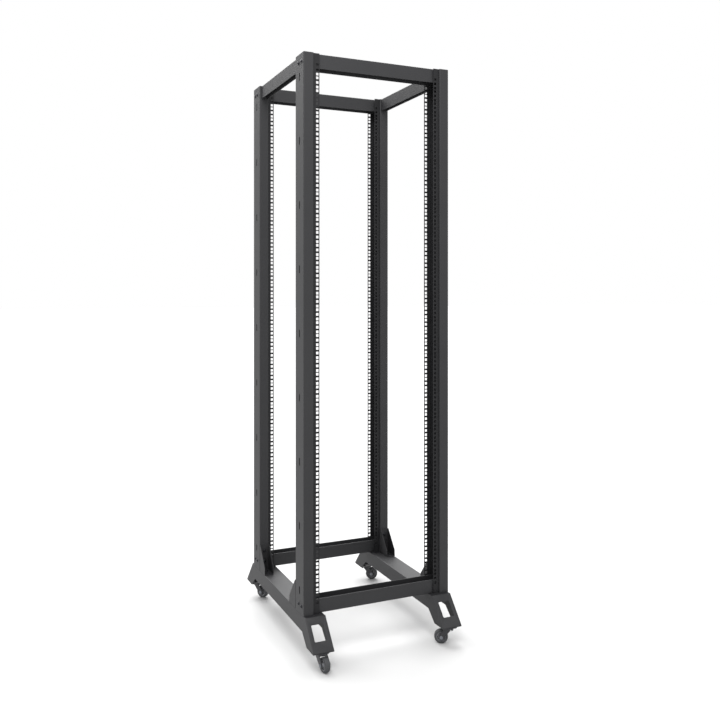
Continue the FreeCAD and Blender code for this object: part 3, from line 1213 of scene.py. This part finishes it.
@dataclass
class FrameFasteners:
    """Every screw and nut that holds the frame, its brackets and its casters."""

    layout: Layout
    finishes: FinishSet
    beam_screw_reach: float = 14.0 * MM
    beam_screw_from_end: float = 29.0 * MM
    side_beam_drops: tuple[float, float] = (15.0 * MM, 35.0 * MM)
    bracket_rises: tuple[float, float] = (34.0 * MM, 76.0 * MM)
    bracket_backs: tuple[float, float] = (16.0 * MM, 40.0 * MM)
    foot_inwards: tuple[float, float] = (16.0 * MM, 52.0 * MM)
    plate_hole_long: float = 44.0 * MM
    plate_hole_wide: float = 30.0 * MM
    plate_thickness: float = 2.5 * MM
    bolt_head_height: float = 2.2 * MM

    def build_screws(self) -> None:
        """Sets the screws of the beams, the brackets and the feet."""
        lay = self.layout
        screws = FastenerSet("frame_screws", ButtonScrew(), self.finishes.screw, "frame_paint")
        beam_heights = (
            lay.post_top - self.beam_screw_from_end,
            lay.post_bottom + self.beam_screw_from_end,
        )
        for reach in (-self.beam_screw_reach, self.beam_screw_reach):
            for height in beam_heights:
                screws.add_at_corners((-lay.side_x, lay.beam_y + reach, height), LEFT)
        inner_y, outer_y = lay.post_back_y - lay.sheet, lay.post_back_y + lay.sheet
        for drop in self.side_beam_drops:
            screws.add_at_corners((-lay.side_beam_x, inner_y, lay.post_top - drop), FRONT)
        bracket_x, floor = (lay.side_x + lay.face_x) / 2.0, lay.post_bottom + lay.sheet
        for rise in self.bracket_rises:
            screws.add_at_corners((-bracket_x, outer_y, lay.post_bottom + rise), REAR)
        for back in self.bracket_backs:
            screws.add_at_corners((-bracket_x, lay.bracket_back_y - back, floor), UP)
        for inward in self.foot_inwards:
            screws.add_at_corners((-lay.side_x + inward, lay.beam_y, floor), UP)
        screws.build()

    def build_caster_bolts(self, kingpins: Iterable[Vector]) -> None:
        """Sets a nut on the pad and a bolt head under the plate at each hole.

        Args:
            kingpins: The kingpins' places.
        """
        nuts = FastenerSet("caster_nuts", FlangeNut(), self.finishes.screw, "caster_steel")
        head = FlangeNut(height=self.bolt_head_height, stub_height=0.0)
        heads = FastenerSet("caster_bolt_heads", head, self.finishes.screw, "caster_steel")
        pad_top = self.layout.pad_bottom + self.layout.sheet
        plate_bottom = self.layout.pad_bottom - self.plate_thickness
        for kingpin in kingpins:
            for across in (-self.plate_hole_wide / 2.0, self.plate_hole_wide / 2.0):
                for along in (-self.plate_hole_long / 2.0, self.plate_hole_long / 2.0):
                    x, y = kingpin.x + across, kingpin.y + along
                    nuts.seats.append(((x, y, pad_top), UP))
                    heads.seats.append(((x, y, plate_bottom), DOWN))
        nuts.build()
        heads.build()


# ---- Swivel casters ----


@dataclass
class Caster:
    """One swivel caster: a pressed fork, an axle bolt and a wheel with a rubber tyre.

    Each piece is built with the kingpin on the Z axis and the wheel trailing along Y, or
    about the wheel's centre with the axle along Z, and is then moved to its corner.
    """

    corner: Corner
    finishes: FinishSet
    kingpin: Vector
    turn: float
    trail: float
    axle_height: float
    wheel_radius: float
    crown_top: float
    # The wheel. Each section gives places along the axle, from the tread's side, from the
    # middle or from the hub's end, with their radii.
    tread_width: float = 18.0 * MM
    hub_width: float = 27.4 * MM
    tyre_side_mm: tuple[tuple[float, float], ...] = ((-1.0, 16.9), (-0.25, 17.5), (0.0, 18.3))
    shoulder_radius_mm: float = 3.4
    shoulder_steps: int = 6
    shoulder_drop_mm: float = 0.25
    tread_flat_mm: tuple[float, float] = (2.6, 0.06)
    rim_side_mm: tuple[tuple[float, float], ...] = (
        (-1.2, 17.2),
        (-0.5, 16.8),
        (-0.5, 15.9),
        (-1.0, 15.4),
    )
    web_mm: tuple[tuple[float, float], ...] = (
        (3.4, 14.7),
        (2.6, 13.9),
        (2.6, 9.6),
        (3.4, 8.7),
        (8.0, 8.0),
    )
    hub_end_mm: tuple[tuple[float, float], ...] = ((-0.6, 7.4), (0.0, 6.8), (0.0, 4.4))
    ribs: int = 10
    rib_radius: float = 11.6 * MM
    rib_length: float = 7.4 * MM
    rib_thickness: float = 1.5 * MM
    rib_inset: float = 2.2 * MM
    segments: int = 64
    # The fork.
    steel: float = 2.5 * MM
    crown_radius: float = 19.0 * MM
    arm_inner: float = 14.0 * MM
    arm_end_radius: float = 9.0 * MM
    bend_radius: float = 3.6 * MM
    cut_edge: float = 0.35 * MM
    arm_tip: float = 0.03 * MM
    arm_round_steps: int = 12
    arm_straight_steps: int = 8
    bend_steps: int = 6
    crown_steps: int = 6
    fork_columns: int = 8
    near_edge_depth: float = 9.5 * MM
    wheel_edge_depth: float = 7.4 * MM
    rolled_edge_top: float = 2.0 * MM
    rolled_edge_softness: float = 0.5 * MM
    rolled_edge_deg: float = 52.0
    rolled_edge_steps: int = 16
    # The axle bolt, with a head and a nut of the same size. Each share is of their height.
    bolt_radius: float = 4.0 * MM
    bolt_flats: float = 12.0 * MM
    bolt_height: float = 3.0 * MM
    bolt_chamfer: float = 0.92
    head_dish_radius: float = 1.2 * MM
    head_dish_share: float = 0.9
    head_wall_share: float = 0.8
    nut_wall_share: float = 0.7
    nut_top_share: float = 0.88
    thread_gap: float = 0.2 * MM
    thread_root: float = 0.1 * MM
    thread_sink_share: float = 0.6
    thread_end: float = 0.4 * MM
    bolt_segments: int = 24

    def placed(self, mesh: bpy.types.Mesh, at_axle: bool) -> bpy.types.Mesh:
        """Moves a mesh from the caster's own place to its corner.

        Args:
            mesh: A mesh about the kingpin, or about the wheel's centre.
            at_axle: Whether it was built about the wheel's centre, with its axis along Z.

        Returns:
            The same mesh.
        """
        if at_axle:
            mesh.transform(Matrix.Rotation(QUARTER_TURN, 4, "Y"))
            mesh.transform(Matrix.Translation((0.0, self.trail, self.axle_height)))
        mesh.transform(Matrix.Rotation(self.turn, 4, "Z"))
        mesh.transform(Matrix.Translation((self.kingpin.x, self.kingpin.y, 0.0)))
        return mesh

    def lathe(self, name: str, right: list[tuple[float, float]]) -> bpy.types.Mesh:
        """Turns a section and its mirror image about the axle.

        Args:
            name: The mesh's name.
            right: The right half's places along the axle, with their radii, in millimetres.

        Returns:
            The turned mesh.
        """
        profile = right + [(-along, radius) for along, radius in right[::-1] if along != 0.0]
        stations = [(radius * MM, along * MM) for along, radius in profile]
        return turned(name, stations, self.segments, closed=True)

    def make_tyre(self) -> bpy.types.Mesh:
        """Makes the tyre, with a crowned tread and rolled shoulders.

        Returns:
            The tyre's mesh.
        """
        half, outer = self.tread_width / MM / 2.0, self.wheel_radius / MM
        shoulder, steps = self.shoulder_radius_mm, self.shoulder_steps
        centre = outer - self.shoulder_drop_mm - shoulder
        right = [(half + inset, radius) for inset, radius in self.tyre_side_mm]
        for step in range(steps + 1):
            angle = step / steps * QUARTER_TURN
            along = half - shoulder + shoulder * math.cos(angle)
            right.append((along, centre + shoulder * math.sin(angle)))
        flat_half, flat_drop = self.tread_flat_mm
        right += [(flat_half, outer - flat_drop), (0.0, outer)]
        return self.lathe("tyre", right)

    def make_core(self) -> bpy.types.Mesh:
        """Makes the moulded centre: a rim, a thin web and a hub.

        Returns:
            The centre's mesh.
        """
        half, hub = self.tread_width / MM / 2.0, self.hub_width / MM / 2.0
        right = [(half + inset, radius) for inset, radius in self.rim_side_mm]
        right += self.web_mm
        right += [(hub + inset, radius) for inset, radius in self.hub_end_mm]
        return self.lathe("core", right)

    def rib_pattern(self) -> PatternTree:
        """Builds the tree that sets flat ribs around the hub.

        Returns:
            The tree.
        """
        kinds = {"Count": "Int", "Middle Radius": "Float", "Rib Size": "Vector"}
        pattern = PatternTree("wheel_ribs", kinds)
        tree, given = pattern.tree, pattern.given
        circle = add_node(
            tree,
            "GeometryNodeMeshCircle",
            {"Vertices": given["Count"], "Radius": given["Middle Radius"]},
        )
        rib = add_node(tree, "GeometryNodeMeshCube", {"Size": given["Rib Size"]})
        place = add_node(tree, "GeometryNodeInputPosition")
        outward = add_node(
            tree,
            "FunctionNodeAlignRotationToVector",
            {"Vector": place.outputs["Position"]},
            axis="X",
            pivot_axis="Z",
        )
        ring = add_node(
            tree,
            "GeometryNodeInstanceOnPoints",
            {
                "Points": circle.outputs["Mesh"],
                "Instance": rib.outputs["Mesh"],
                "Rotation": outward.outputs["Rotation"],
            },
        )
        pattern.end_with(ring.outputs["Instances"])
        return pattern

    def make_ribs(self) -> bpy.types.Mesh:
        """Makes the ribs that join the hub to the rim, on both sides of the web.

        Returns:
            The ribs' mesh.
        """
        rib_width = self.tread_width - 2.0 * self.rib_inset
        values = {
            "Count": self.ribs,
            "Middle Radius": self.rib_radius,
            "Rib Size": (self.rib_length, self.rib_thickness, rib_width),
            "Finish": self.finishes.core,
        }
        return self.rib_pattern().run("ribs", values)

    def make_axle_bolt(self) -> bpy.types.Mesh:
        """Makes the axle bolt: a hexagon head, a shank, and a nut with the thread's end.

        Returns:
            The bolt's mesh, about the wheel's centre.
        """
        face = self.arm_inner + self.steel
        half, high, shank = self.bolt_flats / 2.0, self.bolt_height, self.bolt_radius
        stations = [
            (self.head_dish_radius, -face - high * self.head_dish_share),
            (half * self.bolt_chamfer, -face - high),
            (half, -face - high * self.head_wall_share, HEXAGON),
            (half, -face, HEXAGON),
            (shank, -face),
            (shank, face),
            (half, face, HEXAGON),
            (half, face + high * self.nut_wall_share, HEXAGON),
            (half * self.bolt_chamfer, face + high * self.nut_top_share),
            (shank + self.thread_gap, face + high * self.nut_top_share),
            (shank - self.thread_root, face + high * self.thread_sink_share),
            (shank - self.thread_end, face + high),
        ]
        return turned("axle_bolt", stations, self.bolt_segments)

    def arm_edge(self, height: float, back: bool) -> float:
        """How far back an arm's edge lies at a height.

        Args:
            height: The height above the floor.
            back: True for the rear edge, False for the front edge.

        Returns:
            The edge's place along the caster's trail.
        """
        side = 1.0 if back else -1.0
        start_y = side * math.sqrt(self.crown_radius**2 - self.arm_inner**2)
        away_y = start_y - self.trail
        away_z = self.crown_top - self.axle_height
        radius = self.arm_end_radius
        angle = math.atan2(away_z, away_y) - side * math.acos(
            radius / math.hypot(away_y, away_z)
        )
        touch_y = self.trail + radius * math.cos(angle)
        touch_z = self.axle_height + radius * math.sin(angle)
        if height >= touch_z:
            share = (self.crown_top - height) / (self.crown_top - touch_z)
            return start_y + share * (touch_y - start_y)
        chord = math.sqrt(max(radius**2 - (height - self.axle_height) ** 2, 0.0))
        return self.trail + side * chord

    def fork_rows(self) -> list[tuple[float, float, float, float]]:
        """Lists the fork's rows, up one arm, over the crown and down the other.

        Returns:
            Each row's place across, its height, and its front and rear edge.
        """
        outer = self.arm_inner + self.steel
        low = self.axle_height - self.arm_end_radius
        top = self.crown_top - self.bend_radius
        # The first row is a hair above the arm's round end, where its two edges would meet.
        heights = [low + self.arm_tip]
        for step in range(1, self.arm_round_steps + 1):
            angle = step / self.arm_round_steps * QUARTER_TURN
            heights.append(low + self.arm_end_radius * (1.0 - math.cos(angle)))
        straight = top - self.axle_height
        for step in range(1, self.arm_straight_steps + 1):
            heights.append(self.axle_height + straight * step / self.arm_straight_steps)
        folds = [(outer, height) for height in heights]
        for step in range(1, self.bend_steps + 1):
            angle = step / self.bend_steps * QUARTER_TURN
            x = outer - self.bend_radius * (1.0 - math.cos(angle))
            folds.append((x, top + self.bend_radius * math.sin(angle)))
        rows = [(x, z, self.arm_edge(z, False), self.arm_edge(z, True)) for x, z in folds]
        for step in range(1, self.crown_steps + 1):
            x = (outer - self.bend_radius) * (1.0 - step / self.crown_steps)
            reach = math.sqrt(self.crown_radius**2 - x**2)
            rows.append((x, self.crown_top, -reach, reach))
        return rows + [(-x, z, near, far) for x, z, near, far in rows[-2::-1]]

    def make_fork(self) -> bpy.types.Mesh:
        """Makes the fork, pressed from one sheet: two arms folded down from a round crown.

        Returns:
            The fork's mesh.
        """
        columns, rows = self.fork_columns, self.fork_rows()
        points = [
            (x, near + (far - near) * step / columns, z)
            for x, z, near, far in rows
            for step in range(columns + 1)
        ]
        faces = []
        for index in range(len(rows) - 1):
            for step in range(columns):
                here = index * (columns + 1) + step
                there = here + columns + 1
                faces.append((here, here + 1, there + 1, there))
        skin = bpy.data.meshes.new("fork_skin")
        skin.from_pydata(points, [], faces)
        crown_faces_up = skin.polygons[len(faces) // 2].normal.z > 0.0
        offset = -1.0 if crown_faces_up else 1.0
        return face_outwards(folded_sheet("fork", skin, self.steel, offset, self.cut_edge))

    def rolled_edge(self, side: float, depth: float) -> bpy.types.Mesh:
        """Makes a rolled edge that joins the fork's arms under the rim of its crown.

        Args:
            side: 1 over the wheel, -1 on the side away from it.
            depth: How far the edge comes down from the crown's top.

        Returns:
            The edge's mesh, about the swivel's axis.
        """
        outer, inner = self.crown_radius, self.crown_radius - self.steel
        top, low = self.crown_top - self.rolled_edge_top, self.crown_top - depth
        soft = self.rolled_edge_softness
        section = (
            (inner, top),
            (outer, top),
            (outer, low + soft),
            (outer - soft, low),
            (inner + soft, low),
            (inner, low + soft),
        )
        rings = []
        for step in range(self.rolled_edge_steps + 1):
            share = 2.0 * step / self.rolled_edge_steps - 1.0
            angle = math.radians(self.rolled_edge_deg * share)
            x, y = math.sin(angle), side * math.cos(angle)
            rings.append([(reach * x, reach * y, z) for reach, z in section])
        return loft("rolled_edge", rings)

    def show(
        self,
        name: str,
        mesh: bpy.types.Mesh,
        finish: bpy.types.Material,
        body: str,
        node: str = "",
    ) -> None:
        """Puts a finished caster piece in the scene.

        Args:
            name: The piece's name, without its corner.
            mesh: Its mesh, in place.
            finish: Its material.
            body: The body it rides on, without its corner.
            node: The solid that it replaces, without its corner, if it replaces one.
        """
        mesh.materials.clear()
        mesh.materials.append(finish)
        label = self.corner.label
        mesh.name = name + "_" + label
        piece = add_object(name + "_" + label, mesh)
        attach(piece, body + "_" + label)
        if node:
            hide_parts(node + "_" + label)
        LOG.info("%s_%s: %d faces", name, label, len(mesh.polygons))

    def build(self) -> None:
        """Builds the wheel, the axle bolt and the fork, each on its own body."""
        coats, on_wheel, on_fork = self.finishes, "caster_wheel_body", "caster_fork_body"
        tyre = self.placed(self.make_tyre(), True)
        self.show("caster_tyre", tyre, coats.tyre, on_wheel, "caster_wheel")
        centre = join_meshes("centre", [self.make_core(), self.make_ribs()])
        centre = self.placed(centre, True)
        self.show("caster_wheel_centre", centre, coats.core, on_wheel)
        bolt = self.placed(self.make_axle_bolt(), True)
        self.show("caster_axle_bolt", bolt, coats.zinc, on_fork, "caster_axle")
        near_edge = self.rolled_edge(-1.0, self.near_edge_depth)
        wheel_edge = self.rolled_edge(1.0, self.wheel_edge_depth)
        fork = join_meshes("fork", [self.make_fork(), near_edge, wheel_edge])
        fork = self.placed(fork, False)
        self.show(
            "caster_pressed_fork", fork, coats.caster, on_fork, "caster_fork"
        )


def read_casters(joints: Iterable[dict[str, Any]], finishes: FinishSet) -> list[Caster]:
    """Places the four casters from the frame's joints.

    Args:
        joints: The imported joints.
        finishes: The finishes that the casters use.

    Returns:
        One caster for each corner.
    """
    places = {joint["name"]: Vector(joint["pos_m"]) for joint in joints}
    casters = []
    for corner in Corner:
        kingpin = places["swivel_" + corner.label]
        wheel = places["wheel_spin_" + corner.label]
        away = wheel - kingpin
        _, fork_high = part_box("caster_fork_" + corner.label)
        casters.append(
            Caster(
                corner=corner,
                finishes=finishes,
                kingpin=kingpin,
                turn=math.atan2(-away.x, away.y),
                trail=math.hypot(away.x, away.y),
                axle_height=wheel.z,
                wheel_radius=wheel.z,
                crown_top=float(fork_high[2]),
            )
        )
    return casters


# ---- The frame's own solids ----


@dataclass
class FrameCoat:
    """Paints the solids that stay in view, each with the finish its piece has."""

    finishes: FinishSet
    nodes: dict[str, bpy.types.Object]

    def build(self) -> None:
        """Gives every node the finish that its name calls for."""
        for name, node in self.nodes.items():
            finish = self.finishes.frame
            if name.startswith("caster_"):
                finish = self.finishes.caster
            elif name.startswith("rail_"):
                finish = self.finishes.strip
            for slot in node.material_slots:
                slot.material = finish
            LOG.info("%s: %s", name, finish.name)


# ---- Studio ----


@dataclass(frozen=True)
class SoftLight:
    """A large square of soft white light that hangs near the rack."""

    name: str
    place: Point
    aim: Point
    size: float
    power: float

    def build(self) -> None:
        """Hangs the light and turns it to its aim."""
        lamp = bpy.data.lights.new(self.name, "AREA")
        lamp.shape = "SQUARE"
        lamp.size = self.size
        lamp.energy = self.power
        holder = bpy.data.objects.new(self.name, lamp)
        holder.location = self.place
        away = Vector(self.place) - Vector(self.aim)
        holder.rotation_euler = away.to_track_quat("Z", "Y").to_euler()
        holder.visible_camera = False
        bpy.context.scene.collection.objects.link(holder)


@dataclass(frozen=True)
class FarLight:
    """A broad far light that falls evenly on the whole floor."""

    name: str
    comes_from: Point
    strength: float
    spread_deg: float

    def build(self) -> None:
        """Adds the light and turns it to shine from its side."""
        lamp = bpy.data.lights.new(self.name, "SUN")
        lamp.energy = self.strength
        lamp.angle = math.radians(self.spread_deg)
        holder = bpy.data.objects.new(self.name, lamp)
        holder.rotation_euler = Vector(self.comes_from).to_track_quat("Z", "Y").to_euler()
        bpy.context.scene.collection.objects.link(holder)


@dataclass
class Studio:
    """A pale floor, soft light from above and from the front, and the camera."""

    finishes: FinishSet
    camera_place: Point = (-1.2306, -2.8652, 1.2677)
    camera_yaw_deg: float = 24.225
    lens_mm: float = 40.0
    sensor_mm: float = 36.0
    # The camera looks level and the picture slides down, which keeps the posts upright.
    shift_down: float = 0.0941
    sight: float = 200.0
    surround: float = 1.0
    floor_half: float = 60.0
    lights: tuple[SoftLight | FarLight, ...] = (
        FarLight("overhead_light", (0.0, 0.9, 1.0), strength=5.2, spread_deg=62.0),
        SoftLight("front_left_light", (-1.0, -1.9, 3.8), (0.0, 0.0, 2.2), size=2.0, power=86.0),
    )

    def lay_floor(self) -> None:
        """Lays the paper under the rack."""
        half = self.floor_half
        mesh = bpy.data.meshes.new("floor")
        mesh.from_pydata(
            [(-half, -half, 0.0), (half, -half, 0.0), (half, half, 0.0), (-half, half, 0.0)],
            [],
            [(0, 1, 2, 3)],
        )
        mesh.materials.append(self.finishes.paper)
        floor = add_object("floor", mesh)

    def light_up(self) -> None:
        """Surrounds the rack with white, and adds the lights."""
        world = bpy.data.worlds.new("surround")
        world.use_nodes = True
        tree = world.node_tree
        tree.nodes.clear()
        white = {"Color": (1.0, 1.0, 1.0, 1.0), "Strength": self.surround}
        glow = add_node(tree, "ShaderNodeBackground", white)
        add_node(tree, "ShaderNodeOutputWorld", {"Surface": glow.outputs["Background"]})
        bpy.context.scene.world = world
        bpy.context.scene.view_settings.view_transform = "Standard"
        for light in self.lights:
            light.build()

    def place_camera(self) -> None:
        """Stands the camera at the front left, and looks through it."""
        lens = bpy.data.cameras.new("camera")
        lens.lens = self.lens_mm
        lens.sensor_width = self.sensor_mm
        lens.shift_y = -self.shift_down
        lens.clip_end = self.sight
        camera = bpy.data.objects.new("camera", lens)
        camera.location = self.camera_place
        camera.rotation_euler = (QUARTER_TURN, 0.0, -math.radians(self.camera_yaw_deg))
        bpy.context.scene.collection.objects.link(camera)
        bpy.context.scene.camera = camera

    def build(self) -> None:
        """Lays the floor, lights the rack and places the camera."""
        self.lay_floor()
        self.light_up()
        self.place_camera()


def main() -> None:
    """Builds the rack's looks in order."""
    logging.basicConfig(level=logging.INFO, format="%(message)s")
    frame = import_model()
    finishes = FinishSet()
    layout = Layout.read()
    FrameCoat(finishes, frame["nodes"]).build()
    PerforatedStrips(layout, finishes).build()
    FootEnds(finishes, layout.sheet).build()
    casters = read_casters(frame["joints"], finishes)
    fasteners = FrameFasteners(layout, finishes)
    fasteners.build_screws()
    fasteners.build_caster_bolts([caster.kingpin for caster in casters])
    for caster in casters:
        caster.build()
    Studio(finishes).build()


if __name__ == "__main__":
    main()
